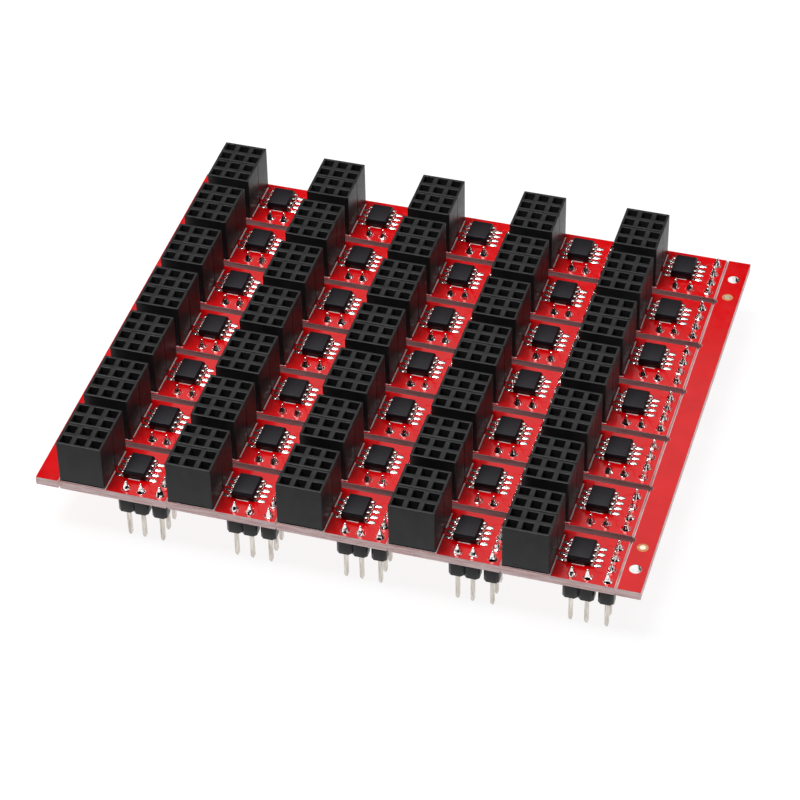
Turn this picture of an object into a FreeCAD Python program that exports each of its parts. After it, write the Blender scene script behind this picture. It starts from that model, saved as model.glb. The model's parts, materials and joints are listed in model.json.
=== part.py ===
"""Production panel of servo driver boards: 5 columns by 7 rows of identical modules.

Each module carries two 2x3 female sockets and one 8-lead chip on top, and one 1x2 and one 1x4
pin header underneath. Millimetres. X runs along the front edge, Y to the back and Z up, with the
origin under the middle of the panel, level with the tips of the header pins.
"""

import FreeCAD, Part
import os

# panel
COLUMNS = 5
ROWS = 7
PITCH_X = 18.36
SLOT_WIDTH = 1.28
MODULE_DEPTH = 11.0
PITCH_Y = MODULE_DEPTH + SLOT_WIDTH
RAIL_WIDTH = 4.0
SLOT_OVERRUN = 0.55
FRONT_TRIM = 0.25
PANEL_WIDTH = COLUMNS * PITCH_X + 2 * RAIL_WIDTH
PANEL_DEPTH = ROWS * MODULE_DEPTH + (ROWS - 1) * SLOT_WIDTH - FRONT_TRIM
BOARD_THICKNESS = 1.45
SCORE_WIDTH = 0.35
SCORE_DEPTH = 0.45
SCORE_RUN_OUT = 0.2

# skins on the laminate
LAYER = 0.035
PRINT_THICKNESS = 0.02
MASK_SETBACK = 0.03
SCORE_MASK_SETBACK = 0.06
MASK_CLEARANCE = 0.05

# legend: the sockets' outline and a bar at each end of the chip
PRINT_WIDTH = 0.2
BAR_WIDTH = 0.16
BAR_LENGTH = 2.0
BAR_FROM_CHIP = 0.05
OUTLINE_FROM_SOCKET = 0.16
OUTLINE_FROM_FRONT = 0.42
OUTLINE_FROM_BACK = 1.2
OUTLINE_CORNER_GAP = 0.8
OUTLINE_BREAK = (-1.45, 0.15)

# tooling holes and fiducials in the right rail
TOOLING_RADIUS = 1.0
TOOLING_FROM_SIDE = 2.0
TOOLING_FROM_END = 5.0
FIDUCIAL_RADIUS = 0.5
FIDUCIAL_OPENING_RADIUS = 0.92
FIDUCIAL_FROM_END = 10.0

# plated holes
DRILL_RADIUS = 0.55
RING_RADIUS = 0.75

# female sockets
PIN_PITCH = 2.54
SOCKET_WIDTH = 3 * PIN_PITCH
SOCKET_DEPTH = 2 * PIN_PITCH
SOCKET_TOP = 8.25
SOCKET_GAP = 0.04
SOCKET_STANDOFF = 0.25
CAVITY_WIDTH = 1.7
SOCKET_WALL = (PIN_PITCH - CAVITY_WIDTH) / 2
SOCKET_CENTRE_X = 3.95
SOCKET_CENTRE_Y = MODULE_DEPTH / 2

# socket contacts
CONTACT_BASE = 0.3
CONTACT_BELOW_TOP = 2.8
CONTACT_WIDTH = 0.9
LEAF_ROOT = 0.75
LEAF_PINCH = 0.35
LEAF_MOUTH = 0.65
MOUTH_HEIGHT = 0.8
LEAF_THICKNESS = 0.2
TAIL_SIZE = (0.6, 0.3)
TAIL_BELOW_BOARD = 1.3

# pin headers under the board
PIN_SIZE = 0.64
PIN_TIP_SIZE = 0.34
PIN_TAPER = 0.5
PIN_EXPOSED = 5.84
PIN_TAIL = 3.1
INSULATOR_SIZE = 2.54
INSULATOR_CHAMFER = 0.5
SHORT_HEADER_X = 11.1
LONG_HEADER_X = 16.8
HEADER_Y = 1.55
SHORT_HEADER_PINS = 2
LONG_HEADER_PINS = 4

# driver chip: 8-lead small-outline package
CHIP_CENTRE_X = 11.55
CHIP_CENTRE_Y = 6.3
CHIP_STANDOFF = 0.1
CHIP_MIDDLE = 0.8
CHIP_TOP = 1.48
CHIP_FOOTPRINTS = ((3.7, 4.7), (3.9, 4.9), (3.4, 4.4))
LEAD_PITCH = 1.27
LEADS_PER_SIDE = 4
LEAD_WIDTH = 0.42
LEAD_THICKNESS = 0.2
LEAD_INNER_END = 1.45
LEAD_SHOULDER = 2.2
LEAD_HEEL = 2.45
LEAD_TOE = 3.0
LEAD_LEAN = 0.08
PAD_INNER_END = 1.875
PAD_OUTER_END = 3.425
PAD_WIDTH = 0.62
PADDLE_SIZE = (2.2, 3.2, 0.2)
DIE_SIZE = (1.7, 2.4, 0.25)

# solder
PIN_CONE = ((0.75, 0.0), (0.55, 0.4), (0.48, 1.03), (0.36, 1.4))
TAIL_CONE_HEIGHT = 0.8
TAIL_CONE_RADIUS = 0.5
TOE_FILLET = 0.3
TOE_FILLET_HEIGHT = 0.16

# heights, from the tips of the header pins
INSULATOR_TOP = PIN_EXPOSED + INSULATOR_SIZE
BOARD_BOTTOM = INSULATOR_TOP + LAYER
BOARD_TOP = BOARD_BOTTOM + BOARD_THICKNESS
SKIN_TOP = BOARD_TOP + LAYER
HOUSING_BOTTOM = SKIN_TOP + SOCKET_STANDOFF
HOUSING_TOP = BOARD_TOP + SOCKET_TOP
BARREL_RADIUS = DRILL_RADIUS - LAYER

LEFT = -PANEL_WIDTH / 2
FRONT = -PANEL_DEPTH / 2
FIRST_ROW = FRONT - FRONT_TRIM
UP = FreeCAD.Vector(0, 0, 1)


def block(low, high):
    """A box between two opposite corners."""
    size = [b - a for a, b in zip(low, high)]
    return Part.makeBox(*size, FreeCAD.Vector(*low))


def centred_block(x, y, size_x, size_y, z_low, z_high):
    """A box centred on x, y between two heights."""
    return block((x - size_x / 2, y - size_y / 2, z_low), (x + size_x / 2, y + size_y / 2, z_high))


def rectangle(x_low, y_low, x_high, y_high, z):
    """A closed rectangular wire at height z."""
    corners = [(x_low, y_low), (x_high, y_low), (x_high, y_high), (x_low, y_high)]
    points = [FreeCAD.Vector(x, y, z) for x, y in corners]
    return Part.makePolygon(points + points[:1])


def centred_rectangle(x, y, size_x, size_y, z):
    return rectangle(x - size_x / 2, y - size_y / 2, x + size_x / 2, y + size_y / 2, z)


def circle(x, y, radius, z):
    """A closed round wire at height z."""
    return Part.Wire([Part.makeCircle(radius, FreeCAD.Vector(x, y, z))])


def stadium(x, y, length, width, z):
    """A closed wire along X with round ends."""
    half = length / 2 - width / 2
    r = width / 2

    def at(dx, dy):
        return FreeCAD.Vector(x + dx, y + dy, z)

    edges = [
        Part.LineSegment(at(-half, -r), at(half, -r)).toShape(),
        Part.Arc(at(half, -r), at(half + r, 0), at(half, r)).toShape(),
        Part.LineSegment(at(half, r), at(-half, r)).toShape(),
        Part.Arc(at(-half, r), at(-half - r, 0), at(-half, -r)).toShape(),
    ]
    return Part.Wire(edges)


def plate(outline, openings, thickness):
    """A flat solid with openings through it."""
    face = Part.makeFace([outline] + openings, "Part::FaceMakerBullseye")
    return face.extrude(UP * thickness)


def profile_across(points, y_low, width):
    """A prism whose section is drawn in X and Z."""
    section = [FreeCAD.Vector(x, y_low, z) for x, z in points]
    return Part.Face(Part.makePolygon(section + section[:1])).extrude(FreeCAD.Vector(0, width, 0))


def profile_along(points, x_low, width):
    """A prism whose section is drawn in Y and Z."""
    section = [FreeCAD.Vector(x_low, y, z) for y, z in points]
    return Part.Face(Part.makePolygon(section + section[:1])).extrude(FreeCAD.Vector(width, 0, 0))


def turned(points, x, y):
    """A solid of revolution about a vertical axis, from radius and height points."""
    section = [FreeCAD.Vector(x + r, y, z) for r, z in points]
    face = Part.Face(Part.makePolygon(section + section[:1]))
    return face.revolve(FreeCAD.Vector(x, y, 0), UP, 360)


def module_corner(column, row):
    """The front left corner of a module's cell, as an offset in the panel."""
    return FreeCAD.Vector(LEFT + RAIL_WIDTH + column * PITCH_X, FIRST_ROW + row * PITCH_Y, 0)


def moved(solids, column, row):
    """Copies of one module's solids, moved to their place in the panel."""
    return [solid.translated(module_corner(column, row)) for solid in solids]


def save(name, solids):
    """Write one node, as a solid or as a group of separate solids."""
    shape = solids[0] if len(solids) == 1 else Part.makeCompound(solids)
    if not shape.isValid():
        raise ValueError(f"{name} is not valid")
    shape.exportStep(f"parts/{name}.step")
    print(f"{name}: {len(shape.Solids)} solids, {sum(s.Volume for s in shape.Solids):.1f} mm3")


# places within a module


def socket_centres():
    """The centres of the front and the back socket housing."""
    step = (SOCKET_DEPTH + SOCKET_GAP) / 2
    return [(SOCKET_CENTRE_X, SOCKET_CENTRE_Y + side * step) for side in (-1, 1)]


def cavity_centres(socket_x, socket_y):
    """The six cavities of one socket."""
    return [
        (socket_x + i * PIN_PITCH, socket_y + j * PIN_PITCH / 2) for j in (-1, 1) for i in (-1, 0, 1)
    ]


def contact_places():
    return [place for centre in socket_centres() for place in cavity_centres(*centre)]


def header_pin_places():
    short = [(SHORT_HEADER_X + i * PIN_PITCH, HEADER_Y) for i in range(SHORT_HEADER_PINS)]
    long = [(LONG_HEADER_X, HEADER_Y + i * PIN_PITCH) for i in range(LONG_HEADER_PINS)]
    return short + long


def lead_places():
    """The side, -1 or 1, and the Y of each chip lead."""
    middle = (LEADS_PER_SIDE - 1) / 2
    offsets = [(i - middle) * LEAD_PITCH for i in range(LEADS_PER_SIDE)]
    return [(side, CHIP_CENTRE_Y + offset) for side in (-1, 1) for offset in offsets]


def tooling_places():
    x = LEFT + PANEL_WIDTH - TOOLING_FROM_SIDE
    return [(x, FRONT + TOOLING_FROM_END), (x, -FRONT - TOOLING_FROM_END)]


def fiducial_places():
    x = LEFT + PANEL_WIDTH - TOOLING_FROM_SIDE
    return [(x, FRONT + FIDUCIAL_FROM_END), (x, -FRONT - FIDUCIAL_FROM_END)]


def everywhere(places):
    """The same places in every module of the panel."""
    corners = [module_corner(c, r) for c in range(COLUMNS) for r in range(ROWS)]
    return [(corner.x + x, corner.y + y) for corner in corners for x, y in places]


# the board and its skins


def slot_outlines(z, grow):
    """The routed slots between the rows, grown all round by a margin."""
    length = COLUMNS * PITCH_X + 2 * SLOT_OVERRUN + 2 * grow
    first = FIRST_ROW + MODULE_DEPTH + SLOT_WIDTH / 2
    width = SLOT_WIDTH + 2 * grow
    return [stadium(0, first + i * PITCH_Y, length, width, z) for i in range(ROWS - 1)]


def score_lines():
    """The V-shaped score lines between the columns, on both faces."""
    cuts = []
    for face_z, inward in ((BOARD_BOTTOM, 1), (BOARD_TOP, -1)):
        slope = SCORE_DEPTH / (SCORE_WIDTH / 2)
        half = SCORE_WIDTH / 2 + SCORE_RUN_OUT / slope
        for i in range(COLUMNS + 1):
            x = LEFT + RAIL_WIDTH + i * PITCH_X
            notch = [
                (x - half, face_z - inward * SCORE_RUN_OUT),
                (x + half, face_z - inward * SCORE_RUN_OUT),
                (x, face_z + inward * SCORE_DEPTH),
            ]
            cuts.append(profile_across(notch, FRONT - SCORE_RUN_OUT, PANEL_DEPTH + 2 * SCORE_RUN_OUT))
    return cuts


def panel_board():
    outline = rectangle(LEFT, FRONT, -LEFT, -FRONT, BOARD_BOTTOM)
    drilled = everywhere(contact_places() + header_pin_places())
    openings = [circle(x, y, DRILL_RADIUS, BOARD_BOTTOM) for x, y in drilled]
    openings += [circle(x, y, TOOLING_RADIUS, BOARD_BOTTOM) for x, y in tooling_places()]
    openings += slot_outlines(BOARD_BOTTOM, 0)
    return plate(outline, openings, BOARD_THICKNESS).cut(score_lines())


def module_mask(z, pads, trim):
    """One module's island of solder mask, open over its copper."""
    edge = SCORE_WIDTH / 2 + SCORE_MASK_SETBACK
    front = trim + MASK_SETBACK
    outline = rectangle(edge, front, PITCH_X - edge, MODULE_DEPTH - MASK_SETBACK, z)
    openings = [
        circle(x, y, RING_RADIUS + MASK_CLEARANCE, z) for x, y in contact_places() + header_pin_places()
    ]
    if pads:
        openings += [chip_pad_outline(side, y, z, MASK_CLEARANCE) for side, y in lead_places()]
    return plate(outline, openings, LAYER)


def rail_masks(z, fiducial_openings):
    """The solder mask of the two rails."""
    inner = -LEFT - RAIL_WIDTH + SCORE_WIDTH / 2 + SCORE_MASK_SETBACK
    outer = -LEFT - MASK_SETBACK
    end = -FRONT - MASK_SETBACK
    openings = [circle(x, y, TOOLING_RADIUS, z) for x, y in tooling_places()]
    if fiducial_openings:
        openings += [circle(x, y, FIDUCIAL_OPENING_RADIUS, z) for x, y in fiducial_places()]
    right = plate(rectangle(inner, -end, outer, end, z), openings, LAYER)
    left = plate(rectangle(-outer, -end, -inner, end, z), [], LAYER)
    slots = [plate(outline, [], LAYER) for outline in slot_outlines(z, MASK_SETBACK)]
    return left.cut(slots).Solids + right.cut(slots).Solids


def solder_mask(z, top):
    first_row = module_mask(z, top, FRONT_TRIM)
    other_rows = module_mask(z, top, 0)
    islands = []
    for column in range(COLUMNS):
        for row in range(ROWS):
            islands += moved([other_rows if row else first_row], column, row)
    return islands + rail_masks(z, fiducial_openings=top)


def printed_line(x_low, y_low, x_high, y_high, width=PRINT_WIDTH):
    """A straight printed line between two points along X or Y."""
    half = width / 2
    low = (x_low - half, y_low - half, SKIN_TOP)
    return block(low, (x_high + half, y_high + half, SKIN_TOP + PRINT_THICKNESS))


def module_print(front_row):
    """The socket outline on its open sides, and a bar at each end of the chip."""
    line_x = SOCKET_CENTRE_X + SOCKET_WIDTH / 2 + OUTLINE_FROM_SOCKET
    line_y = OUTLINE_FROM_FRONT
    start_x = SCORE_WIDTH / 2 + SCORE_MASK_SETBACK + PRINT_WIDTH
    break_low, break_high = [CHIP_CENTRE_Y + offset for offset in OUTLINE_BREAK]
    across = printed_line(start_x, line_y, line_x, line_y)
    first = printed_line(line_x, line_y, line_x, break_low)
    outline = [across.fuse(first).removeSplitter()]
    if not front_row:
        outline = [across, printed_line(line_x, line_y + OUTLINE_CORNER_GAP, line_x, break_low)]
    outline.append(printed_line(line_x, break_high, line_x, MODULE_DEPTH - OUTLINE_FROM_BACK))
    left, right = [CHIP_CENTRE_X + side * (BAR_LENGTH - BAR_WIDTH) / 2 for side in (-1, 1)]
    for side in (-1, 1):
        y = CHIP_CENTRE_Y + side * (CHIP_FOOTPRINTS[1][1] / 2 + BAR_FROM_CHIP)
        outline.append(printed_line(left, y, right, y, BAR_WIDTH))
    return outline


def legend():
    solids = []
    for column in range(COLUMNS):
        for row in range(ROWS):
            solids += moved(module_print(front_row=row == 0), column, row)
    return solids


def plated_hole(x, y):
    """A copper barrel with a ring on both faces of the board."""
    low, high = BOARD_BOTTOM, BOARD_TOP
    return turned(
        [
            (BARREL_RADIUS, low - LAYER),
            (RING_RADIUS, low - LAYER),
            (RING_RADIUS, low),
            (DRILL_RADIUS, low),
            (DRILL_RADIUS, high),
            (RING_RADIUS, high),
            (RING_RADIUS, high + LAYER),
            (BARREL_RADIUS, high + LAYER),
        ],
        x,
        y,
    )


def chip_pad_outline(side, y, z, grow):
    x = CHIP_CENTRE_X + side * (PAD_INNER_END + PAD_OUTER_END) / 2
    length = PAD_OUTER_END - PAD_INNER_END + 2 * grow
    return stadium(x, y, length, PAD_WIDTH + 2 * grow, z)


def chip_pads():
    return [plate(chip_pad_outline(side, y, BOARD_TOP, 0), [], LAYER) for side, y in lead_places()]


def fiducials():
    return [plate(circle(x, y, FIDUCIAL_RADIUS, BOARD_TOP), [], LAYER) for x, y in fiducial_places()]


# female sockets


def socket_housing(x, y):
    """A black moulding with six square cavities right through it, on four small feet."""
    outline = centred_rectangle(x, y, SOCKET_WIDTH, SOCKET_DEPTH, HOUSING_BOTTOM)
    cavities = [
        centred_rectangle(cx, cy, CAVITY_WIDTH, CAVITY_WIDTH, HOUSING_BOTTOM)
        for cx, cy in cavity_centres(x, y)
    ]
    body = plate(outline, cavities, HOUSING_TOP - HOUSING_BOTTOM)
    feet = []
    for side_x in (-1, 1):
        for side_y in (-1, 1):
            at_x = x + side_x * (SOCKET_WIDTH - SOCKET_WALL) / 2
            at_y = y + side_y * (SOCKET_DEPTH - SOCKET_WALL) / 2
            feet.append(centred_block(at_x, at_y, SOCKET_WALL, SOCKET_WALL, SKIN_TOP, HOUSING_BOTTOM))
    return body.fuse(feet).removeSplitter()


def socket_contact(x, y):
    """A base plate with two sprung leaves above it and a tail through the board."""
    base_top = HOUSING_BOTTOM + CONTACT_BASE
    leaf_top = HOUSING_TOP - CONTACT_BELOW_TOP
    pinch_z = leaf_top - MOUTH_HEIGHT
    plate_solid = centred_block(x, y, CAVITY_WIDTH, CAVITY_WIDTH, HOUSING_BOTTOM, base_top)
    tail = centred_block(x, y, *TAIL_SIZE, BOARD_BOTTOM - TAIL_BELOW_BOARD, HOUSING_BOTTOM)
    leaves = []
    for side in (-1, 1):
        outer = [(LEAF_ROOT, base_top), (LEAF_PINCH, pinch_z), (LEAF_MOUTH, leaf_top)]
        inner = [(out - LEAF_THICKNESS, z) for out, z in reversed(outer)]
        section = [(y + side * out, z) for out, z in outer + inner]
        leaves.append(profile_along(section, x - CONTACT_WIDTH / 2, CONTACT_WIDTH))
    return plate_solid.fuse([tail] + leaves).removeSplitter()


# driver chip


def chip_lead(side, y):
    """A gull-wing lead, from inside the moulding to its foot on the pad."""
    half = LEAD_THICKNESS / 2
    high, low = CHIP_MIDDLE + half, CHIP_MIDDLE - half
    section = [
        (LEAD_INNER_END, high),
        (LEAD_SHOULDER + LEAD_LEAN, high),
        (LEAD_HEEL + LEAD_LEAN, LEAD_THICKNESS),
        (LEAD_TOE, LEAD_THICKNESS),
        (LEAD_TOE, 0),
        (LEAD_HEEL - LEAD_LEAN, 0),
        (LEAD_SHOULDER - LEAD_LEAN, low),
        (LEAD_INNER_END, low),
    ]
    points = [(CHIP_CENTRE_X + side * x, SKIN_TOP + z) for x, z in section]
    return profile_across(points, y - LEAD_WIDTH / 2, LEAD_WIDTH)


def chip_leads():
    return [chip_lead(side, y) for side, y in lead_places()]


def chip_die():
    """The paddle in the middle of the lead frame, with the die on it."""
    paddle_top = SKIN_TOP + CHIP_MIDDLE + PADDLE_SIZE[2] / 2
    paddle = centred_block(
        CHIP_CENTRE_X, CHIP_CENTRE_Y, *PADDLE_SIZE[:2], paddle_top - PADDLE_SIZE[2], paddle_top
    )
    die = centred_block(
        CHIP_CENTRE_X, CHIP_CENTRE_Y, *DIE_SIZE[:2], paddle_top, paddle_top + DIE_SIZE[2]
    )
    return [paddle, die]


def chip_body():
    """The moulding, with drafted sides, filled by its die, its paddle and the roots of its leads."""
    heights = (CHIP_STANDOFF, CHIP_MIDDLE, CHIP_TOP)
    sections = [
        centred_rectangle(CHIP_CENTRE_X, CHIP_CENTRE_Y, *size, SKIN_TOP + z)
        for size, z in zip(CHIP_FOOTPRINTS, heights)
    ]
    return Part.makeLoft(sections, True, True).cut(chip_leads() + chip_die())


# pin headers


def header_pin(x, y):
    """A square pin with tapered ends."""
    top = INSULATOR_TOP + PIN_TAIL
    heights = (0, PIN_TAPER, top - PIN_TAPER, top)
    sizes = (PIN_TIP_SIZE, PIN_SIZE, PIN_SIZE, PIN_TIP_SIZE)
    sections = [centred_rectangle(x, y, size, size, z) for size, z in zip(sizes, heights)]
    return Part.makeLoft(sections, True, True)


def insulator(places, step_x, step_y):
    """A strip of eight-sided lobes, one round each pin."""
    half = INSULATOR_SIZE / 2
    narrow = half - INSULATOR_CHAMFER
    forward, back = [], []
    for x, y in places:
        for along, across in ((-half, narrow), (-narrow, half), (narrow, half), (half, narrow)):
            forward.append((x + along * step_x + across * step_y, y + along * step_y - across * step_x))
            back.append((x + along * step_x - across * step_y, y + along * step_y + across * step_x))
    points = [FreeCAD.Vector(x, y, PIN_EXPOSED) for x, y in forward + back[::-1]]
    distinct = [p for i, p in enumerate(points) if p.distanceToPoint(points[i - 1]) > 1e-6]
    outline = Part.makePolygon(distinct + distinct[:1])
    holes = [centred_rectangle(x, y, PIN_SIZE, PIN_SIZE, PIN_EXPOSED) for x, y in places]
    return plate(outline, holes, INSULATOR_SIZE)


def insulators():
    places = header_pin_places()
    return [
        insulator(places[:SHORT_HEADER_PINS], 1, 0),
        insulator(places[SHORT_HEADER_PINS:], 0, 1),
    ]


# solder


def pin_joint(x, y):
    """Solder that fills the barrel round a header pin and stands up as a cone on top."""
    cone = [(radius, SKIN_TOP + height) for radius, height in PIN_CONE]
    barrel = [(0, INSULATOR_TOP), (BARREL_RADIUS, INSULATOR_TOP), (BARREL_RADIUS, SKIN_TOP)]
    joint = turned(barrel + cone + [(0, cone[-1][1])], x, y)
    return joint.cut(header_pin(x, y))


def tail_joint(x, y):
    """Solder that fills the barrel round a socket tail and hangs down as a cone underneath."""
    below = BOARD_BOTTOM - LAYER
    joint = turned(
        [
            (0, SKIN_TOP),
            (BARREL_RADIUS, SKIN_TOP),
            (BARREL_RADIUS, below),
            (RING_RADIUS, below),
            (TAIL_CONE_RADIUS, below - TAIL_CONE_HEIGHT),
            (0, below - TAIL_CONE_HEIGHT),
        ],
        x,
        y,
    )
    tail = centred_block(x, y, *TAIL_SIZE, PIN_EXPOSED, HOUSING_TOP)
    return joint.cut(tail)


def toe_joint(side, y):
    """The fillet of solder in front of a chip lead's toe."""
    toe = CHIP_CENTRE_X + side * LEAD_TOE
    section = [
        (toe, SKIN_TOP),
        (toe + side * TOE_FILLET, SKIN_TOP),
        (toe, SKIN_TOP + TOE_FILLET_HEIGHT),
    ]
    return profile_across(section, y - LEAD_WIDTH / 2, LEAD_WIDTH)


def top_solder():
    pins = [pin_joint(x, y) for x, y in header_pin_places()]
    return pins + [toe_joint(side, y) for side, y in lead_places()]


def main():
    os.makedirs("parts", exist_ok=True)
    save("panel_board", panel_board().Solids)
    save("solder_mask_top", solder_mask(BOARD_TOP, top=True))
    save("solder_mask_underside", solder_mask(BOARD_BOTTOM - LAYER, top=False))
    save("printed_legend", legend())
    save("fiducial_dots", fiducials())

    barrels = [plated_hole(x, y) for x, y in contact_places() + header_pin_places()]
    modules = [(c, r) for c in range(COLUMNS) for r in range(ROWS)]
    save("plated_holes", [s for c, r in modules for s in moved(barrels, c, r)])
    save("chip_pads", [s for c, r in modules for s in moved(chip_pads(), c, r)])

    module_parts = {
        "socket_housings": [socket_housing(x, y) for x, y in socket_centres()],
        "socket_contacts": [socket_contact(x, y) for x, y in contact_places()],
        "socket_solder": [tail_joint(x, y) for x, y in contact_places()],
        "driver_chips": [chip_body()],
        "chip_dies": chip_die(),
        "chip_leads": chip_leads(),
        "header_insulators": insulators(),
        "header_pins": [header_pin(x, y) for x, y in header_pin_places()],
        "top_solder": top_solder(),
    }
    for name, solids in module_parts.items():
        for column in range(COLUMNS):
            copies = [s for row in range(ROWS) for s in moved(solids, column, row)]
            save(f"{name}_column_{column + 1}", copies)


main()
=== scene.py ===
"""Looks for the panel of servo driver boards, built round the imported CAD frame.

Lengths are in millimetres until a mesh is made, when they become metres. Places within a module are
worked out from the boxes of the CAD nodes.
"""

import json
import math
import random

import bmesh
import bpy
import numpy as np
from mathutils import Matrix, Vector


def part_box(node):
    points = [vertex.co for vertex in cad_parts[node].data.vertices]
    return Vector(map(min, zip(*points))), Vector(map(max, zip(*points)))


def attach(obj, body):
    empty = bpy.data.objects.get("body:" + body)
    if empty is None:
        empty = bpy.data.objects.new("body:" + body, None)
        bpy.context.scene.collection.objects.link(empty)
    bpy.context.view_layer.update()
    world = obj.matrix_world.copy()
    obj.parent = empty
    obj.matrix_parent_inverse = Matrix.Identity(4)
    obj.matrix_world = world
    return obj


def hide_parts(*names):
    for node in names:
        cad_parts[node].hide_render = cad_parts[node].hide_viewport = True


MM = 0.001
COLUMNS = 5
ROWS = 7
PIN_PITCH = 2.54
LEAD_PITCH = 1.27
BEVEL_SEGMENTS = 2
RING_SIDES = 40
CHANCE = random.Random(35)

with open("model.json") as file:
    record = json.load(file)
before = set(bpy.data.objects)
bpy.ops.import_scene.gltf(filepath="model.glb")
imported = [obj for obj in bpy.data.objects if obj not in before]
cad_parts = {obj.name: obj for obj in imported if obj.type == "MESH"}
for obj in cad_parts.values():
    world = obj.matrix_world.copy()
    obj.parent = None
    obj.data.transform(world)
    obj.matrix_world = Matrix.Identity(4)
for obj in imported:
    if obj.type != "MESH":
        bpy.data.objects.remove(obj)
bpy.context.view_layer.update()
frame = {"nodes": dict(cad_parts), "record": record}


# sizes and places, from the frame


def node_box(name):
    """The lowest and the highest corner of a CAD node, in millimetres."""
    low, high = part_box(name)
    return np.array(low) / MM, np.array(high) / MM


BOARD_LOW, BOARD_HIGH = node_box("panel_board")
MASK_TOP = node_box("solder_mask_top")[1][2]
MASK_BOTTOM = node_box("solder_mask_underside")[0][2]

SOCKET_LOW, SOCKET_HIGH = node_box("socket_housings_column_1")
CHIP_LOW, CHIP_HIGH = node_box("driver_chips_column_1")
LEADS_LOW, LEADS_HIGH = node_box("chip_leads_column_1")
INSULATOR_LOW, INSULATOR_HIGH = node_box("header_insulators_column_1")
PINS_LOW, PINS_HIGH = node_box("header_pins_column_1")

CHIP_LENGTH = 4.9
CHIP_SIZE = (CHIP_HIGH[0] - CHIP_LOW[0], CHIP_LENGTH)
PITCH_X = (node_box("driver_chips_column_2")[0] - CHIP_LOW)[0]
PITCH_Y = (CHIP_HIGH[1] - CHIP_LOW[1] - CHIP_SIZE[1]) / (ROWS - 1)

SOCKET_SIZE = (3 * PIN_PITCH, 2 * PIN_PITCH)
SOCKET_X = (SOCKET_LOW[0] + SOCKET_HIGH[0]) / 2
SOCKET_YS = (SOCKET_LOW[1] + SOCKET_SIZE[1] / 2, SOCKET_HIGH[1] - (ROWS - 1) * PITCH_Y - SOCKET_SIZE[1] / 2)
SOCKET_TOP = SOCKET_HIGH[2]
SOCKET_STANDOFF = 0.25  # from the soles of the feet to the bottom of the walls
CAVITY = 1.7

CHIP_X = (CHIP_LOW[0] + CHIP_HIGH[0]) / 2
CHIP_Y = CHIP_LOW[1] + CHIP_SIZE[1] / 2
CHIP_BOTTOM, CHIP_TOP = CHIP_LOW[2], CHIP_HIGH[2]
LEAD_SPAN = LEADS_HIGH[0] - LEADS_LOW[0]
LEAD_TOP = LEADS_HIGH[2]
LEAD_THICKNESS = 0.2
LEAD_WIDTH = 0.42
PAD_SOLDER_WIDTH = 0.8
PAD_SOLDER_INSIDE_TOE = 0.8
PAD_SOLDER_PAST_TOE = {-1: 0.4, 1: 0.66}  # on the left and the right of the chip

PIN_SIZE = 0.64
DRILL_RADIUS = 0.55
RING_RADIUS = 0.75
HOLE_SIDES = 28
JOINT_SIDES = 28
JOINT_LUMPS = 0.07
HEADER_Y = PINS_LOW[1] + PIN_SIZE / 2
SHORT_HEADER_X = PINS_LOW[0] + PIN_SIZE / 2
LONG_HEADER_X = PINS_HIGH[0] - PIN_SIZE / 2
SHORT_PLACES = [(SHORT_HEADER_X + i * PIN_PITCH, HEADER_Y) for i in range(2)]
LONG_PLACES = [(LONG_HEADER_X, HEADER_Y + i * PIN_PITCH) for i in range(4)]
HEADER_PLACES = SHORT_PLACES + LONG_PLACES
PIN_TOP = PINS_HIGH[2]
INSULATOR_BOTTOM, INSULATOR_TOP = INSULATOR_LOW[2], INSULATOR_HIGH[2]

CONTACT_PLACES = [
    (SOCKET_X + i * PIN_PITCH, y + j * PIN_PITCH / 2) for y in SOCKET_YS for j in (-1, 1) for i in (-1, 0, 1)
]
LEAD_PLACES = [(side, CHIP_Y + (i - 1.5) * LEAD_PITCH) for side in (-1, 1) for i in range(4)]


# mesh making


class Shape:
    """Points in millimetres and the faces between them."""

    def __init__(self, points=(), faces=()):
        self.points = np.array(points, float).reshape(-1, 3)
        self.faces = [tuple(f) for f in faces]

    def placed(self, matrix):
        """A copy turned and moved by a 4x4 matrix."""
        m = np.array(matrix)
        return Shape(self.points @ m[:3, :3].T + m[:3, 3], self.faces)

    def moved(self, x, y, z=0.0):
        """A copy moved along the axes."""
        return Shape(self.points + (x, y, z), self.faces)

    def mirrored_x(self):
        """A mirrored copy, left to right."""
        return Shape(self.points * (-1, 1, 1), [f[::-1] for f in self.faces])

    def mirrored_z(self):
        """A mirrored copy, top to bottom."""
        return Shape(self.points * (1, 1, -1), [f[::-1] for f in self.faces])

    def turned_over(self):
        """A copy whose faces look the other way, each from the same first corner."""
        return Shape(self.points, [(f[0], *f[:0:-1]) for f in self.faces])


def from_bmesh(bm):
    """Turns a bmesh into a shape, and frees the bmesh."""
    bm.normal_update()
    bm.verts.index_update()
    shape = Shape([v.co[:] for v in bm.verts], [[v.index for v in f.verts] for f in bm.faces])
    bm.free()
    return shape


def softened(shape, width, angle=30, keep=None):
    """The shape with the edges that turn more than the angle rounded. keep(edge) leaves one as it is."""
    bm = bmesh.new()
    verts = [bm.verts.new(p) for p in shape.points]
    for face in shape.faces:
        bm.faces.new([verts[i] for i in face])
    bmesh.ops.recalc_face_normals(bm, faces=bm.faces)
    limit = math.radians(angle)
    edges = [e for e in bm.edges if len(e.link_faces) == 2 and e.calc_face_angle() > limit]
    if keep:
        edges = [e for e in edges if not keep(e)]
    bmesh.ops.bevel(
        bm, geom=edges, offset=width, segments=BEVEL_SEGMENTS, profile=0.5, affect="EDGES", clamp_overlap=True
    )
    return from_bmesh(bm)


def joined(shapes):
    """One shape out of many."""
    points, faces, start = [], [], 0
    for shape in shapes:
        points.append(shape.points)
        faces += [tuple(i + start for i in f) for f in shape.faces]
        start += len(shape.points)
    return Shape(np.concatenate(points), faces)


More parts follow.
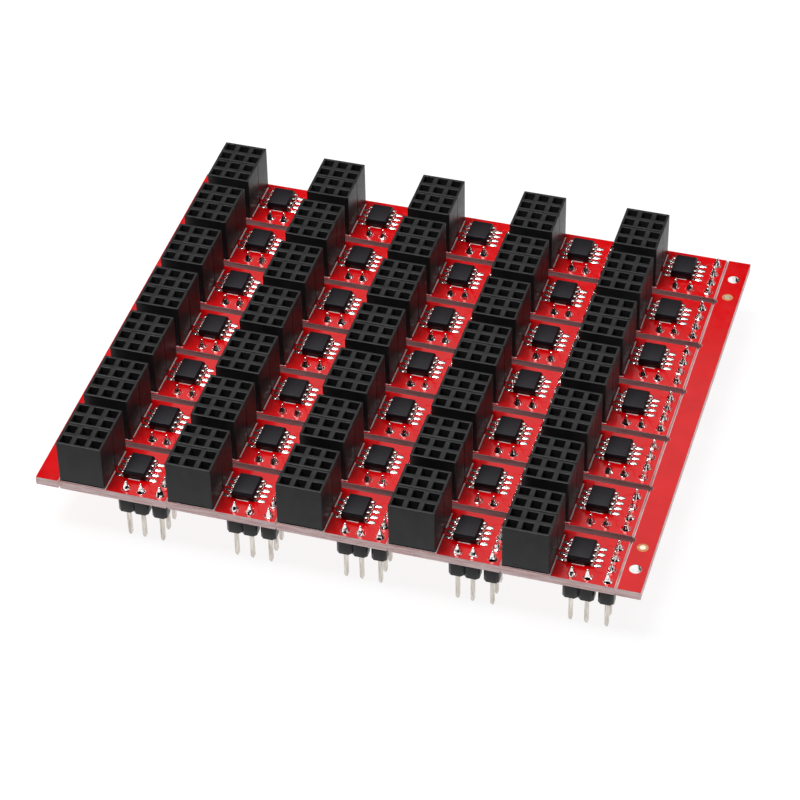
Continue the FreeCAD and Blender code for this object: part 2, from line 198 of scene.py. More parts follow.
def make(name, shape, look, replaces=()):
    """Turns a shape into an object that rides on the board and wears one material."""
    mesh = bpy.data.meshes.new(name)
    mesh.from_pydata((shape.points * MM).tolist(), [], shape.faces)
    mesh.materials.append(look)
    mesh.update()
    mesh.shade_smooth()
    sharp_above = math.radians(40)
    mesh.set_sharp_from_angle(angle=sharp_above)
    piece = bpy.data.objects.new(name, mesh)
    bpy.context.scene.collection.objects.link(piece)
    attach(piece, "root")
    if replaces:
        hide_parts(*replaces)


def prism(outline, low, high):
    """An upright solid between two heights, from an outline that goes anticlockwise."""
    n = len(outline)
    points = [(x, y, low) for x, y in outline] + [(x, y, high) for x, y in outline]
    sides = [(i, (i + 1) % n, n + (i + 1) % n, n + i) for i in range(n)]
    return Shape(points, [tuple(range(n))[::-1], tuple(range(n, 2 * n))] + sides)


def band(low, high, around):
    """The faces between two rings of points, given as the numbers of the two rings."""
    low_start, high_start = low * around, high * around
    faces = []
    for a in range(around):
        b = (a + 1) % around
        faces.append((low_start + a, low_start + b, high_start + b, high_start + a))
    return faces


def cap(ring, around):
    """The face that closes a solid above the ring of that number."""
    return tuple(range(ring * around, (ring + 1) * around))


def lofted(sections):
    """A solid through closed rings of points, all with the same count, capped at both ends."""
    n, last = len(sections[0]), len(sections) - 1
    faces = [cap(0, n)[::-1], cap(last, n)]
    for k in range(last):
        faces += band(k, k + 1, n)
    return Shape([point for ring in sections for point in ring], faces)


def turned_ring(profile, around):
    """A closed ring about Z, from an outline of (radius, height) pairs that goes anticlockwise."""
    count = len(profile)
    points, faces = [], []
    for radius, z in profile:
        for a in range(around):
            angle = 2 * math.pi * a / around
            points.append((radius * math.cos(angle), radius * math.sin(angle), z))
    for k in range(count):
        faces += band(k, (k + 1) % count, around)
    return Shape(points, faces)


def square_ring(size_x, size_y, z):
    """The four corners of a rectangle about Z, anticlockwise."""
    x, y = size_x / 2, size_y / 2
    return [(-x, -y, z), (x, -y, z), (x, y, z), (-x, y, z)]


# sockets


def housing_shape():
    """One 2x3 socket moulding: a grid of walls round six cavities, standing on four small feet."""
    bottom = SOCKET_LOW[2] + SOCKET_STANDOFF
    half_x, half_y = SOCKET_SIZE[0] / 2, SOCKET_SIZE[1] / 2
    lines_x = [-half_x] + [i * PIN_PITCH + s * CAVITY / 2 for i in (-1, 0, 1) for s in (-1, 1)] + [half_x]
    lines_y = [-half_y] + [j * PIN_PITCH + s * CAVITY / 2 for j in (-0.5, 0.5) for s in (-1, 1)] + [half_y]
    cells_x, cells_y = len(lines_x) - 1, len(lines_y) - 1

    def solid(i, j):
        inside = 0 <= i < cells_x and 0 <= j < cells_y
        return inside and not (i % 2 == 1 and j % 2 == 1)

    def corner(i, j):
        return i in (0, cells_x - 1) and j in (0, cells_y - 1)

    bm = bmesh.new()
    known = {}

    def vert(i, j, z):
        key = (i, j, round(z, 4))
        if key not in known:
            known[key] = bm.verts.new((lines_x[i], lines_y[j], z))
        return known[key]

    def wall(a, b, low, high):
        bm.faces.new([vert(*a, low), vert(*b, low), vert(*b, high), vert(*a, high)])

    for i in range(cells_x):
        for j in range(cells_y):
            if not solid(i, j):
                continue
            low = SOCKET_LOW[2] if corner(i, j) else bottom
            ring = [(i, j), (i + 1, j), (i + 1, j + 1), (i, j + 1)]
            bm.faces.new([vert(*p, SOCKET_TOP) for p in ring])
            bm.faces.new([vert(*p, low) for p in reversed(ring)])
            neighbours = ((0, -1), (1, 0), (0, 1), (-1, 0))
            for (di, dj), a, b in zip(neighbours, ring, ring[1:] + ring[:1]):
                if not solid(i + di, j + dj):
                    wall(a, b, bottom, SOCKET_TOP)
                if corner(i, j):
                    wall(a, b, low, bottom)
    bmesh.ops.recalc_face_normals(bm, faces=bm.faces)
    return from_bmesh(bm)


def hidden_edge(edge):
    """Is this edge neither at the top of a socket nor upright at one of its corners?"""
    half_x, half_y, near = SOCKET_SIZE[0] / 2, SOCKET_SIZE[1] / 2, 0.01
    below = max(v.co.z for v in edge.verts) < SOCKET_TOP - near
    at_corner = all(abs(abs(v.co.x) - half_x) < near and abs(abs(v.co.y) - half_y) < near for v in edge.verts)
    return below and not at_corner


def socket_housings(column, look):
    """The sockets of one column. Each stands very slightly askew, as hand-placed sockets do."""
    sound = softened(housing_shape(), 0.09, keep=hidden_edge)
    shapes = []
    middle_z = (SOCKET_TOP + SOCKET_LOW[2]) / 2
    shrink = Matrix.Diagonal((0.994, 0.994, 0.994, 1.0))  # room to turn beside the next socket
    for row in range(ROWS):
        for y in SOCKET_YS:
            turn = Matrix.Rotation(math.radians(CHANCE.uniform(-0.35, 0.35)), 4, "Z")
            lean = Matrix.Rotation(math.radians(CHANCE.uniform(-0.12, 0.12)), 4, "X")
            place = Matrix.Translation((SOCKET_X + column * PITCH_X, y + row * PITCH_Y, middle_z))
            centred = Matrix.Translation((0, 0, -middle_z))
            shapes.append(sound.placed(place @ turn @ lean @ shrink @ centred))
    name = f"socket_housings_column_{column + 1}"
    make(f"sockets_{column + 1}", joined(shapes), look, replaces=[name])


# driver chip


def chip_shape():
    """The moulding of the 8-lead package, widest at its parting line."""
    parting, half_band, chamfer = LEAD_TOP - LEAD_THICKNESS / 2, 0.03, 0.16
    narrower_at = [(0.24, CHIP_BOTTOM), (0, parting - half_band), (0, parting + half_band)]
    narrower_at += [(0.3, CHIP_TOP - chamfer), (0.5, CHIP_TOP)]
    rings = [square_ring(CHIP_SIZE[0] - less, CHIP_SIZE[1] - less, z) for less, z in narrower_at]
    return softened(lofted(rings), 0.05, angle=8)


def toward(a, b, length):
    """The point that far from a on the way to b."""
    d = math.dist(a, b)
    return tuple(p + (q - p) * length / d for p, q in zip(a, b))


def lead_path():
    """The middle line of a lead from the moulding's side to its toe, with its two bends rounded."""
    foot_z = MASK_TOP + LEAD_THICKNESS / 2
    high_z = LEAD_TOP - LEAD_THICKNESS / 2
    toe = LEAD_SPAN / 2
    knee, heel = toe - 0.65, toe - 0.43
    root = CHIP_SIZE[0] / 2 - 0.12  # a little way inside the moulding
    corners = [(root, high_z), (knee, high_z), (heel, foot_z), (toe, foot_z)]
    bend, steps = 0.16, 5
    path = [corners[0]]
    for before, corner, after in zip(corners, corners[1:], corners[2:]):
        start = toward(corner, before, bend)
        end = toward(corner, after, bend)
        for k in range(steps + 1):
            t = k / steps
            u = 1 - t
            path.append(tuple(u * u * a + 2 * u * t * b + t * t * c for a, b, c in zip(start, corner, end)))
    path.append(corners[-1])
    return path


def lead_shape():
    """A gull-wing lead on the +X side."""
    path = lead_path()
    half_w, half_t = LEAD_WIDTH / 2, LEAD_THICKNESS / 2
    rings = []
    for i, (x, z) in enumerate(path):
        (xa, za), (xb, zb) = path[max(i - 1, 0)], path[min(i + 1, len(path) - 1)]
        length = math.hypot(xb - xa, zb - za)
        nx, nz = -(zb - za) / length, (xb - xa) / length
        ring = []
        for across, up in ((-1, -1), (1, -1), (1, 1), (-1, 1)):
            ring.append((x + nx * up * half_t, across * half_w, z + nz * up * half_t))
        rings.append(ring)
    return softened(lofted(rings), 0.035, angle=50)


def pad_solder_shape(bulge, past_toe):
    """Solder over a chip pad and round the foot of its lead: a low smooth mound with a raised heel."""
    inner, outer = LEAD_SPAN / 2 - PAD_SOLDER_INSIDE_TOE, LEAD_SPAN / 2 + past_toe
    middle, half_l, half_w = (inner + outer) / 2, (outer - inner) / 2, PAD_SOLDER_WIDTH / 2
    around, steps = JOINT_SIDES, 6
    toe_share, crown_share = 0.6, 0.8
    points, faces = [], []
    for k in range(steps):
        s = 1 - k / steps
        for a in range(around):
            angle = 2 * math.pi * a / around
            cx = math.copysign(abs(math.cos(angle)) ** 0.75, math.cos(angle))
            cy = math.copysign(abs(math.sin(angle)) ** 0.85, math.sin(angle))
            x = middle + half_l * s * cx
            slope = toe_share + (1 - toe_share) * (outer - x) / (outer - inner)
            z = bulge * slope * math.sqrt(1 - s ** 2)
            points.append((x, half_w * s * cy, MASK_TOP + z))
    for k in range(steps - 1):
        faces += band(k, k + 1, around)
    crown, last = len(points), cap(steps - 1, around)
    points.append((middle, 0.0, MASK_TOP + bulge * crown_share))
    faces += [(a, b, crown) for a, b in zip(last, last[1:] + last[:1])]
    faces.append(cap(0, around)[::-1])
    return Shape(points, faces)


def chips(column, body_look, metal_look):
    """The chips of one column with their leads. Returns the solder on their pads."""
    body, lead = chip_shape(), lead_shape()
    shrink = Matrix.Diagonal((0.995, 0.995, 1.0, 1.0))  # room to turn
    bodies, leads, mounds = [], [], []
    for row in range(ROWS):
        x, y = CHIP_X + column * PITCH_X, CHIP_Y + row * PITCH_Y
        turn = Matrix.Rotation(math.radians(CHANCE.uniform(-0.5, 0.5)), 4, "Z")
        bodies.append(body.placed(Matrix.Translation((x, y, 0)) @ turn @ shrink))
        for side, lead_y in LEAD_PLACES:
            mound = pad_solder_shape(CHANCE.uniform(0.13, 0.18), PAD_SOLDER_PAST_TOE[side])
            one = lead
            if side < 0:
                mound, one = mound.mirrored_x(), lead.mirrored_x()
            leads.append(one.moved(x, lead_y + row * PITCH_Y))
            mounds.append(mound.moved(x, lead_y + row * PITCH_Y))
    n = column + 1
    make(f"chips_{n}", joined(bodies), body_look, replaces=[f"driver_chips_column_{n}"])
    make(f"chip_leads_{n}", joined(leads), metal_look, replaces=[f"chip_leads_column_{n}"])
    return mounds


# pin headers


def insulator_shape(places, along_x):
    """A strip of eight-sided lobes, as made for snapping, with softened edges."""
    half, cut = PIN_PITCH / 2, 0.5
    narrow = half - cut
    one_side, other_side = [], []
    for i, (x, y) in enumerate(places):
        turns = [(-half, narrow), (-narrow, half), (narrow, half)]
        if i == len(places) - 1:
            turns.append((half, narrow))
        for along, across in turns:
            one_side.append((x + along, y - across) if along_x else (x + across, y + along))
            other_side.append((x + along, y + across) if along_x else (x - across, y + along))
    outline = one_side + other_side[::-1]
    return softened(prism(outline, INSULATOR_BOTTOM, INSULATOR_TOP), 0.09, angle=25)


def header_insulators(column, look):
    """The black strips of one column that hold the pins, under the board."""
    strips = [insulator_shape(SHORT_PLACES, True), insulator_shape(LONG_PLACES, False)]
    shapes = [s.moved(column * PITCH_X, row * PITCH_Y) for row in range(ROWS) for s in strips]
    name = f"header_insulators_column_{column + 1}"
    make(f"insulators_{column + 1}", joined(shapes), look, replaces=[name])


def pin_shape():
    """A square pin with softened edges and stubby pyramid ends."""
    share_at = [(0.42, 0.0), (0.9, 0.42), (1.0, 0.6), (1.0, PIN_TOP - 1.1), (0.38, PIN_TOP)]
    rings = [square_ring(PIN_SIZE * share, PIN_SIZE * share, z) for share, z in share_at]
    return softened(lofted(rings), 0.045, angle=8)


def header_pins(column, look):
    """The pins of one column, some of them leaning a little below the board."""
    pin = pin_shape()
    below = np.clip(INSULATOR_BOTTOM - pin.points[:, 2], 0, None)
    shapes = []
    for row in range(ROWS):
        for x, y in HEADER_PLACES:
            lean = [math.tan(math.radians(CHANCE.gauss(0, 0.45))) for _ in range(2)]
            leaning = Shape(pin.points + np.outer(below, (*lean, 0)), pin.faces)
            shapes.append(leaning.moved(x + column * PITCH_X, y + row * PITCH_Y))
    name = f"header_pins_column_{column + 1}"
    make(f"pins_{column + 1}", joined(shapes), look, replaces=[name])


# solder


def joint_shape(profile, squareness):
    """Solder drawn up a square wire, from (radius, height) pairs. It is round at its foot, squarer above."""
    phase = [CHANCE.uniform(0, 2 * math.pi) for _ in range(3)]
    turn = math.radians(CHANCE.uniform(-7, 7))
    height = profile[-1][1]
    rings = []
    for k, (radius, z) in enumerate(profile):
        t = z / height
        power = 2 + squareness * min(1.0, 2 * t) * (1 - t ** 6)
        lumps = JOINT_LUMPS * (1 - 0.5 * t) * (1 if k else 0.4)
        ring = []
        for a in range(JOINT_SIDES):
            angle = 2 * math.pi * a / JOINT_SIDES
            square = (abs(math.cos(angle)) ** power + abs(math.sin(angle)) ** power) ** (-1 / power)
            wave = sum(math.sin((m + 2) * angle + phase[m]) for m in range(3)) / 3
            r = radius * square * (1 + lumps * wave)
            ring.append((r * math.cos(angle + turn), r * math.sin(angle + turn), z))
        rings.append(ring)
    return lofted(rings)


def pin_joint_profile(top, fullness):
    """A straight-sided cone of solder with a small foot, which ends in a ball over the pin's tip."""
    ball = 0.235
    foot, neck = (0.7 * fullness, 0.07), (ball * 1.03, 1.12)
    rise = [(0.76, 0.0), (0.73, 0.025), foot]
    for t in (0.33, 0.66, 1.0):
        rise.append((foot[0] + (neck[0] - foot[0]) * t, foot[1] + (neck[1] - foot[1]) * t))
    rise.append((ball, top - 1.1 * ball))
    for step in (35, 55, 72, 84):
        angle = math.radians(step)
        rise.append((ball * math.cos(angle), top - ball + ball * math.sin(angle)))
    return rise


def top_solder(column, look, mounds):
    """The pin joints of one column on the top face, with the solder on the chip pads."""
    shapes = list(mounds)
    for row in range(ROWS):
        for x, y in HEADER_PLACES:
            top = PIN_TOP - MASK_TOP + CHANCE.uniform(0.02, 0.07)
            joint = joint_shape(pin_joint_profile(top, CHANCE.uniform(0.9, 1.06)), squareness=2.0)
            shapes.append(joint.moved(x + column * PITCH_X, y + row * PITCH_Y, MASK_TOP))
    name = f"top_solder_column_{column + 1}"
    make(f"top_joints_{column + 1}", joined(shapes), look, replaces=[name])


def socket_solder(column, look):
    """The joints of one column round the socket contacts' tails, under the board."""
    shapes = []
    for row in range(ROWS):
        for x, y in CONTACT_PLACES:
            tall = CHANCE.uniform(0.95, 1.1)
            profile = [(0.75, 0.0), (0.66, 0.08), (0.56, 0.22), (0.47, 0.42)]
            profile += [(0.4, 0.66 * tall), (0.3, 0.8 * tall), (0.16, 0.86 * tall)]
            joint = joint_shape(profile, squareness=0.8).mirrored_z()
            shapes.append(joint.moved(x + column * PITCH_X, y + row * PITCH_Y, MASK_BOTTOM))
    name = f"socket_solder_column_{column + 1}"
    make(f"underside_joints_{column + 1}", joined(shapes), look, replaces=[name])


def plated_holes(column, look):
    """The copper barrels of one column, each with a ring on both faces of the board."""
    low, high = node_box("plated_holes")
    bottom, top = BOARD_LOW[2], BOARD_HIGH[2]
    barrel = DRILL_RADIUS - (bottom - low[2])  # the plating is as thick as the rings are
    profile = [(barrel, low[2]), (RING_RADIUS, low[2]), (RING_RADIUS, bottom), (DRILL_RADIUS, bottom)]
    profile += [(DRILL_RADIUS, top), (RING_RADIUS, top), (RING_RADIUS, high[2]), (barrel, high[2])]
    hole = turned_ring(profile, HOLE_SIDES)
    places = CONTACT_PLACES + HEADER_PLACES
    shapes = [hole.moved(x + column * PITCH_X, y + row * PITCH_Y) for row in range(ROWS) for x, y in places]
    name = f"plated_holes_{column + 1}"
    make(name, joined(shapes), look, replaces=["plated_holes"])


def washer(inner, outer, bottom, top):
    """A flat ring between two radii and two heights."""
    return turned_ring([(inner, bottom), (outer, bottom), (outer, top), (inner, top)], RING_SIDES)


def fiducial_rings(look):
    """Bare resin seen round each fiducial dot, through its window in the mask."""
    low, high = node_box("fiducial_dots")
    radius, margin, thickness = (high[0] - low[0]) / 2, 0.4, 0.006
    ring = washer(radius, radius + margin, BOARD_HIGH[2], BOARD_HIGH[2] + thickness)
    shapes = [ring.moved(low[0] + radius, y) for y in (low[1] + radius, high[1] - radius)]
    make("fiducial_rings", joined(shapes), look)


def tooling_linings(look):
    """The thin tinned lining of each tooling hole."""
    thickness = 0.02
    shapes = []
    for mount in frame["record"]["mounts"]:
        if mount["kind"] == "bore":
            x, y = (p / MM for p in mount["pos_m"][:2])
            radius = mount["dims"]["r_mm"]
            shapes.append(washer(radius - thickness, radius, BOARD_LOW[2], BOARD_HIGH[2]).moved(x, y))
    make("tooling_hole_linings", joined(shapes), look)


def ridge(route, half_width, height):
    """A low ridge with sloping sides along a route on top of the mask."""
    section = ((-1.0, 0.0), (-0.6, 0.8), (0.0, 1.0), (0.6, 0.8), (1.0, 0.0))
    rings = []
    for i, (x, y) in enumerate(route):
        before, after = route[max(i - 1, 0)], route[min(i + 1, len(route) - 1)]
        dx, dy = after[0] - before[0], after[1] - before[1]
        reach = half_width / math.hypot(dx, dy)
        rings.append([(x - dy * c * reach, y + dx * c * reach, MASK_TOP + up * height) for c, up in section])
    return lofted(rings).turned_over()


def tracks(look):
    """Copper tracks that show as low ridges under the mask, from the chip to the pin headers."""
    past_toe, short_of_pin = 0.3, 0.7
    pad_x = CHIP_X + LEAD_SPAN / 2 + past_toe
    routes = []
    for before_pin, (_, pad_y), (pin_x, pin_y) in zip((1.5, 1.1, 1.3, 1.6), LEAD_PLACES[4:], LONG_PLACES):
        x = pin_x - before_pin
        slant = abs(pin_y - pad_y) / 2
        routes.append([(pad_x, pad_y), (x - slant, pad_y), (x, pin_y), (pin_x - short_of_pin, pin_y)])
    (first_x, y), (second_x, _) = SHORT_PLACES
    link_y = y + 1.25
    start, turn, end = (first_x + 0.4, y + short_of_pin), (first_x + 0.95, link_y), LONG_HEADER_X - 1.2
    routes.append([start, turn, (end, link_y)])
    routes.append([(second_x, y + short_of_pin), (second_x, CHIP_Y - 3.4)])
    one = joined([ridge(route, half_width=0.17, height=0.018) for route in routes])
    shapes = [one.moved(c * PITCH_X, r * PITCH_Y) for c in range(COLUMNS) for r in range(ROWS)]
    make("mask_over_tracks", joined(shapes), look)


# materials


class Look:
    """A material with a Principled shader, and short ways to add detail to it."""

    def __init__(self, name, color, roughness, metallic=0.0, ior=1.5):
        self.material = bpy.data.materials.new(name)
        self.material.use_nodes = True
        self.nodes = self.material.node_tree.nodes
        self.links = self.material.node_tree.links
        self.shader = self.nodes["Principled BSDF"]
        self.shader.inputs["Base Color"].default_value = (*color, 1)
        self.shader.inputs["Roughness"].default_value = roughness
        self.shader.inputs["Metallic"].default_value = metallic
        self.shader.inputs["IOR"].default_value = ior
        self.place = self.nodes.new("ShaderNodeTexCoord").outputs["Object"]
        self.normal = None

    def stretched(self, scale):
        """The object's coordinates, scaled along each axis."""
        mapping = self.nodes.new("ShaderNodeMapping")
        mapping.inputs["Scale"].default_value = scale
        self.links.new(self.place, mapping.inputs["Vector"])
        return mapping.outputs["Vector"]

    def noise(self, size, detail=3.0, stretch=(1, 1, 1), roughness=0.55):
        """Noise whose grains are about size millimetres across."""
        texture = self.nodes.new("ShaderNodeTexNoise")
        scale = 1 / (size * MM)
        self.links.new(self.stretched([scale * s for s in stretch]), texture.inputs["Vector"])
        texture.inputs["Scale"].default_value = 1.0
        texture.inputs["Detail"].default_value = detail
        texture.inputs["Roughness"].default_value = roughness
        return texture.outputs["Fac"]

    def ramp(self, value, stops):
        """Maps a value through (position, colour) stops."""
        node = self.nodes.new("ShaderNodeValToRGB")
        elements = node.color_ramp.elements
        while len(elements) < len(stops):
            elements.new(0.5)
        for element, (position, color) in zip(elements, stops):
            element.position = position
            element.color = (*color, 1)
        self.links.new(value, node.inputs["Fac"])
        return node.outputs["Color"]

    def feed(self, socket, value):
        """Gives a socket a plain value, or another node's output."""
        if hasattr(value, "links"):
            self.links.new(value, socket)
        else:
            socket.default_value = value

    def mix(self, factor, a, b, kind="MIX"):
        """Mixes two colours. A and B are the names of a socket for each type, so colours go by number."""
        node = self.nodes.new("ShaderNodeMix")
        node.data_type = "RGBA"
        node.blend_type = kind
        self.feed(node.inputs["Factor"], factor)
        self.feed(node.inputs[6], a)
        self.feed(node.inputs[7], b)
        return node.outputs[2]

    def calculated(self, operation, a, b=0.0):
        """The result of one operation on one or two values."""
        node = self.nodes.new("ShaderNodeMath")
        node.operation = operation
        self.feed(node.inputs[0], a)
        self.feed(node.inputs[1], b)
        return node.outputs["Value"]

    def within(self, value, limit):
        """1 where a value is nearer to nought than the limit, and 0 elsewhere."""
        return self.calculated("LESS_THAN", self.calculated("ABSOLUTE", value), limit)

    def axes(self, vector):
        """The X, Y and Z outputs of a vector."""
        node = self.nodes.new("ShaderNodeSeparateXYZ")
        self.links.new(vector, node.inputs["Vector"])
        return node.outputs

    def slot_shade_mask(self):
        """1 on upright walls well inside the panel, as in a slot, and 0 at its edges and score lines: where
        the laminate gets its painted slot shade.
        """
        edge_depth, rail_depth, score_slope = 1.0, 3.2, 0.3
        facing = self.axes(self.nodes.new("ShaderNodeTexCoord").outputs["Normal"])
        place = self.axes(self.place)
        upright = self.within(facing["Z"], score_slope)
        inside_y = self.within(place["Y"], (BOARD_HIGH[1] - edge_depth) * MM)
        inside_x = self.within(place["X"], (BOARD_HIGH[0] - rail_depth) * MM)
        return self.calculated("MULTIPLY", upright, self.calculated("MULTIPLY", inside_y, inside_x))

    def color(self, value):
        """Takes the base colour from another node."""
        self.links.new(value, self.shader.inputs["Base Color"])

    def roughness(self, value, low, high):
        """Spreads the middle of a value, where noise mostly lies, over a span of roughness."""
        node = self.nodes.new("ShaderNodeMapRange")
        node.inputs["To Min"].default_value = low
        node.inputs["To Max"].default_value = high
        node.inputs["From Min"].default_value = 0.3
        node.inputs["From Max"].default_value = 0.7
        self.links.new(value, node.inputs["Value"])
        self.links.new(node.outputs["Result"], self.shader.inputs["Roughness"])

    def bump(self, value, height):
        """Relief of about height millimetres, on top of any relief given before."""
        node = self.nodes.new("ShaderNodeBump")
        node.inputs["Strength"].default_value = 1.0
        node.inputs["Distance"].default_value = height * MM
        self.links.new(value, node.inputs["Height"])
        if self.normal:
            self.links.new(self.normal, node.inputs["Normal"])
        self.normal = node.outputs["Normal"]
        self.links.new(self.normal, self.shader.inputs["Normal"])


def red_mask():
    """Glossy red solder mask over copper and glass weave."""
    look = Look("red_solder_mask", (0.64, 0.002, 0.004), 0.12, ior=1.38)
    cloud = look.noise(5.0, detail=2.0)
    look.color(look.ramp(cloud, [(0.3, (0.6, 0.0015, 0.003)), (0.7, (0.69, 0.0025, 0.005))]))
    look.roughness(look.noise(1.5), 0.07, 0.16)
    look.bump(look.noise(0.6, detail=1.0), 0.002)
    return look.material


def laminate():
    """Cut glass-epoxy: thin layers of cloth seen edge on, with torn fibres. Walls inside the slots get a
    painted shade, browner and darker.
    """
    look = Look("glass_epoxy_laminate", (0.7, 0.5, 0.46), 0.7)
    layers = look.noise(0.2, detail=4.0, stretch=(0.05, 0.05, 1.0), roughness=0.7)
    pale = [(0.3, (0.56, 0.32, 0.32)), (0.45, (0.76, 0.5, 0.5))]
    pale += [(0.56, (0.88, 0.68, 0.67)), (0.7, (0.94, 0.82, 0.8))]
    # painted shade: a darker, browner ramp for the walls of the narrow slots, standing in for the shade that
    # falls there
    painted_slot_shade = [(0.3, (0.24, 0.085, 0.09)), (0.5, (0.42, 0.17, 0.18)), (0.7, (0.56, 0.28, 0.28))]
    body = look.mix(look.slot_shade_mask(), look.ramp(layers, pale), look.ramp(layers, painted_slot_shade))
    fibres = look.noise(0.12, detail=5.0, roughness=0.75)
    tone = look.ramp(fibres, [(0.3, (0.72, 0.7, 0.7)), (0.6, (1, 1, 1))])
    look.color(look.mix(1.0, body, tone, "MULTIPLY"))
    look.roughness(fibres, 0.5, 0.8)
    look.bump(layers, 0.04)
    look.bump(fibres, 0.03)
    return look.material


def white_print():
    """Slightly worn white ink, pinker where it is thin."""
    look = Look("white_legend", (0.85, 0.8, 0.79), 0.55)
    grain = look.noise(0.1, detail=4.0)
    look.color(look.ramp(grain, [(0.3, (0.8, 0.64, 0.63)), (0.5, (0.98, 0.93, 0.92))]))
    look.bump(grain, 0.006)
    return look.material


def moulded_plastic(name, color, low, high, relief, grain=0.12, ior=1.36):
    """Black moulded plastic with a fine spark-eroded grain, faint flow marks and a span of roughness."""
    look = Look(name, color, (low + high) / 2, ior=ior)
    flow = look.noise(2.2, detail=3.0, stretch=(1, 1, 0.5))
    brighter = [c * 1.5 for c in color]
    look.color(look.ramp(flow, [(0.35, color), (0.7, brighter)]))
    look.roughness(look.noise(0.9, detail=4.0), low, high)
    look.bump(look.noise(grain, detail=3.0), relief)
    return look.material


def bright_solder():
    """Shiny solder with soft patches and a gently uneven surface."""
    look = Look("bright_solder", (0.9, 0.89, 0.88), 0.12, metallic=1.0)
    patch = look.noise(0.5, detail=3.0)
    look.color(look.ramp(patch, [(0.3, (0.78, 0.77, 0.76)), (0.6, (0.94, 0.93, 0.92))]))
    look.roughness(patch, 0.02, 0.09)
    look.bump(look.noise(0.35, detail=2.0), 0.02)
    return look.material


def plated_metal(name, dull, bright, low, high, grain, stretch=(1, 1, 1)):
    """Plated metal with drawn marks or grain, duller to brighter, over a span of roughness."""
    look = Look(name, bright, low, metallic=1.0)
    marks = look.noise(grain, detail=4.0, stretch=stretch)
    look.color(look.ramp(marks, [(0.3, dull), (0.65, bright)]))
    look.roughness(marks, low, high)
    look.bump(marks, 0.008)
    return look.material


def bare_resin():
    """Resin over glass cloth, brown where the mask is left open."""
    look = Look("bare_resin", (0.3, 0.13, 0.05), 0.35)
    weave = look.noise(0.2, detail=3.0)
    look.color(look.ramp(weave, [(0.35, (0.5, 0.17, 0.06)), (0.65, (0.75, 0.35, 0.13))]))
    look.bump(weave, 0.01)
    return look.material


LOOKS = {
    "red_mask": red_mask(),
    "laminate": laminate(),
    "white_print": white_print(),
    "socket_plastic": moulded_plastic(
        "socket_plastic", (0.016, 0.016, 0.017), low=0.3, high=0.42, relief=0.0008, ior=1.33
    ),
    "header_plastic": moulded_plastic(
        "header_plastic", (0.006, 0.006, 0.0065), low=0.25, high=0.42, relief=0.003
    ),
    "moulding_compound": moulded_plastic(
        "moulding_compound", (0.006, 0.0045, 0.007), low=0.36, high=0.5, relief=0.003, grain=0.07
    ),
    "solder": bright_solder(),
    "lead_tin": plated_metal("lead_tin", (0.8, 0.79, 0.78), (0.95, 0.94, 0.93), 0.06, 0.16, 0.25),
    "pin_tin": plated_metal("pin_tin", (0.42, 0.38, 0.33), (0.74, 0.7, 0.65), 0.14, 0.3, 0.3, (1, 1, 0.12)),
    "tinned_copper": plated_metal("tinned_copper", (0.68, 0.62, 0.55), (0.86, 0.82, 0.78), 0.15, 0.35, 0.3),
    "gilt_copper": plated_metal("gilt_copper", (0.95, 0.84, 0.6), (1.0, 0.95, 0.8), 0.15, 0.3, 0.3),
    "contact_metal": plated_metal("contact_metal", (0.4, 0.36, 0.28), (0.66, 0.6, 0.5), 0.25, 0.45, 0.3),
    "silicon": plated_metal("silicon", (0.2, 0.2, 0.24), (0.3, 0.3, 0.34), 0.1, 0.2, 0.5),
}


def dress_cad_nodes():
    """Gives each CAD node that still shows the material of its slot."""
    slots = {part["node"]: part["material_slot"] for part in frame["record"]["subparts"]}
    for name, node in frame["nodes"].items():
        node.data.materials.clear()
        node.data.materials.append(LOOKS[slots[name]])


# stage


def studio():
    """A pale lit floor, and a surround that is dark in front, pale behind and lighter overhead."""
    scene = bpy.context.scene
    scene.view_settings.view_transform = "Standard"
    scene.view_settings.look = "None"

    world = bpy.data.worlds.new("dim_surround")
    scene.world = world
    world.use_nodes = True
    nodes, links = world.node_tree.nodes, world.node_tree.links
    direction = nodes.new("ShaderNodeSeparateXYZ")
    links.new(nodes.new("ShaderNodeTexCoord").outputs["Generated"], direction.inputs["Vector"])
    brightest = nodes.new("ShaderNodeMath")
    brightest.operation = "MAXIMUM"
    darkest = 0.02
    spans = (("Y", 0.1, 0.5, 0.95), ("Z", 0.6, 0.95, 0.45))
    for socket, (axis, start, end, strength) in zip(brightest.inputs, spans):
        fade = nodes.new("ShaderNodeMapRange")
        fade.interpolation_type = "SMOOTHSTEP"
        fade.inputs["From Min"].default_value = start
        fade.inputs["From Max"].default_value = end
        fade.inputs["To Min"].default_value = darkest
        fade.inputs["To Max"].default_value = strength
        links.new(direction.outputs[axis], fade.inputs["Value"])
        links.new(fade.outputs["Result"], socket)
    links.new(brightest.outputs["Value"], nodes["Background"].inputs["Strength"])

    reach = 3.0
    mesh = bpy.data.meshes.new("floor")
    mesh.from_pydata(square_ring(2 * reach, 2 * reach, 0), [], [(0, 1, 2, 3)])
    paper = Look("lit_paper", (0.15, 0.15, 0.15), 0.9, ior=1.2)
    paper.shader.inputs["Emission Color"].default_value = (1, 1, 1, 1)
    paper.shader.inputs["Emission Strength"].default_value = 0.9
    paper.bump(paper.noise(0.5), 0.01)
    mesh.materials.append(paper.material)
    floor = bpy.data.objects.new("floor", mesh)
    scene.collection.objects.link(floor)


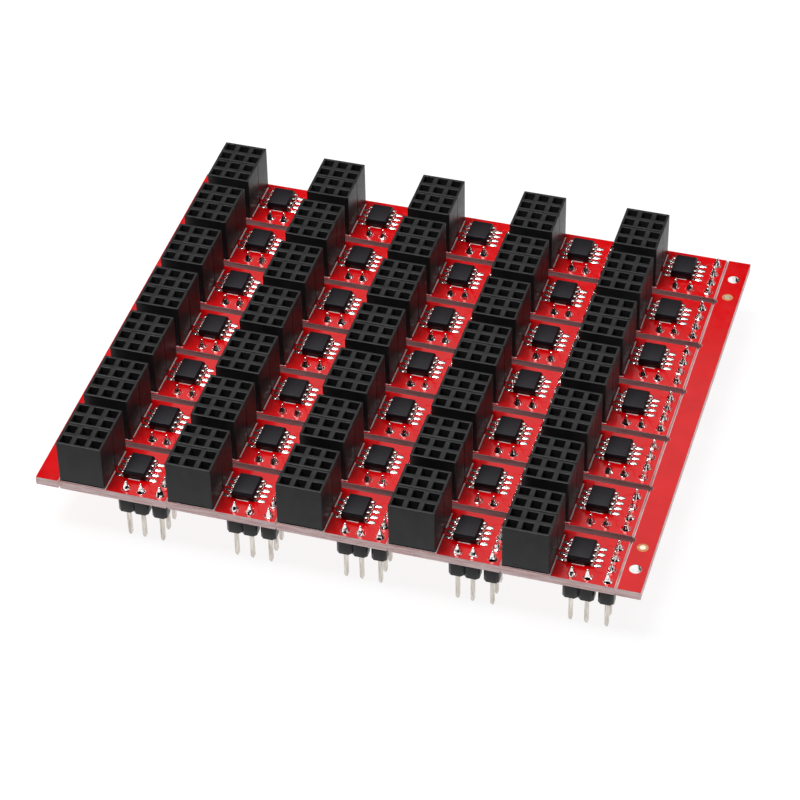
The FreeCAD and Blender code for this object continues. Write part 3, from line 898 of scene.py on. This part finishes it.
def bearing(azimuth, elevation):
    """The unit vector towards an azimuth and elevation in degrees. Azimuth 0 is the panel's front."""
    a, e = math.radians(azimuth), math.radians(elevation)
    return Vector((math.sin(a) * math.cos(e), -math.cos(a) * math.cos(e), math.sin(e)))


def soft_lamp(name, azimuth, elevation, size, power):
    """A square area lamp, one metre from the origin and facing it."""
    lamp = bpy.data.lights.new(name, "AREA")
    lamp.size = size
    lamp.energy = power
    holder = bpy.data.objects.new(name, lamp)
    holder.location = bearing(azimuth, elevation)
    holder.rotation_euler = (-holder.location).to_track_quat("-Z", "Y").to_euler()
    bpy.context.scene.collection.objects.link(holder)


def camera():
    """Looks down on the panel from the front right, through a long lens."""
    aim = Vector((1.39, -8.62, 10.0)) * MM
    distance = 506.2 * MM
    back = bearing(azimuth=17.18, elevation=40.88)
    roll = Matrix.Rotation(math.radians(-1.16), 3, "Z")
    data = bpy.data.cameras.new("camera")
    data.lens = 137.9
    data.sensor_width = 36.0
    holder = bpy.data.objects.new("camera", data)
    holder.location = aim + back * distance
    turn = (-back).to_track_quat("-Z", "Y").to_matrix()
    holder.rotation_euler = (turn @ roll).to_euler()
    bpy.context.scene.collection.objects.link(holder)
    bpy.context.scene.camera = holder


camera()
studio()
soft_lamp("back_softbox", azimuth=178, elevation=63, size=0.85, power=2.6)
soft_lamp("left_softbox", azimuth=-100, elevation=54, size=0.7, power=2.5)
soft_lamp("overhead_softbox", azimuth=-80, elevation=77, size=0.5, power=7.3)
soft_lamp("right_softbox", azimuth=98, elevation=16, size=0.5, power=1.2)
dress_cad_nodes()
fiducial_rings(bare_resin())
tooling_linings(LOOKS["solder"])
tracks(LOOKS["red_mask"])
for column in range(COLUMNS):
    socket_housings(column, LOOKS["socket_plastic"])
    chip_mounds = chips(column, LOOKS["moulding_compound"], LOOKS["lead_tin"])
    header_insulators(column, LOOKS["header_plastic"])
    header_pins(column, LOOKS["pin_tin"])
    top_solder(column, LOOKS["solder"], chip_mounds)
    socket_solder(column, LOOKS["solder"])
    plated_holes(column, LOOKS["tinned_copper"])
